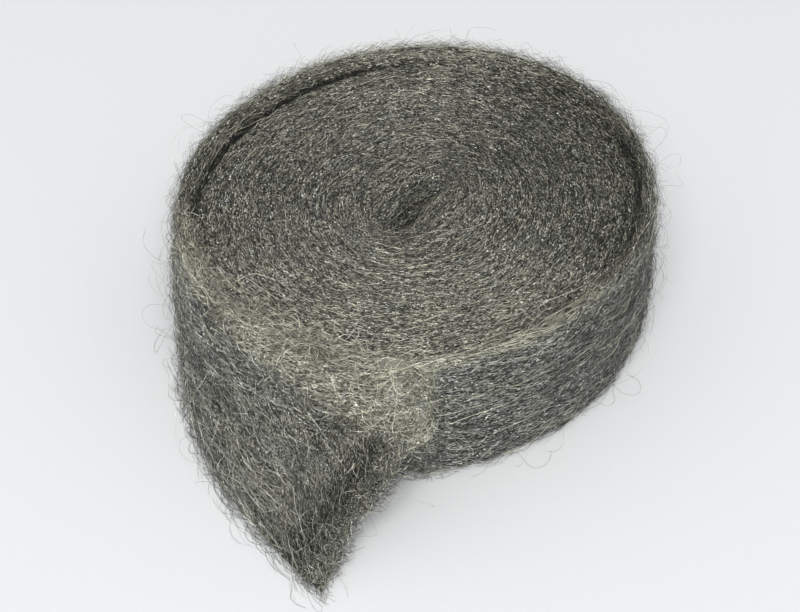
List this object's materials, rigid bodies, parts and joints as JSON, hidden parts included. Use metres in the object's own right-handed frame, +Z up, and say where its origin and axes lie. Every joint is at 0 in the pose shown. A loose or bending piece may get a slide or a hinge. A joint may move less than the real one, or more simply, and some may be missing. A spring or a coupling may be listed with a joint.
{
  "type": "steel wool roll",
  "caption": "Flat-wound roll of coarse steel wool ribbon with a raised outer turn and a torn, flared tail, for scouring, rubbing down and polishing.",
  "frame": {"origin": "on the flat underside, on the roll's axis", "axes": "+Z up along the roll's axis, -Y towards the front, where the torn tail leaves the roll, +X to the right seen from the front"},
  "size_m": [0.1605, 0.2122, 0.05],
  "materials": {
    "steel_wool": "matted grey steel fibres with small bright glints"
  },
  "bodies": {
    "root": {"steel_wool_roll": "steel_wool"}
  },
  "joints": []
}
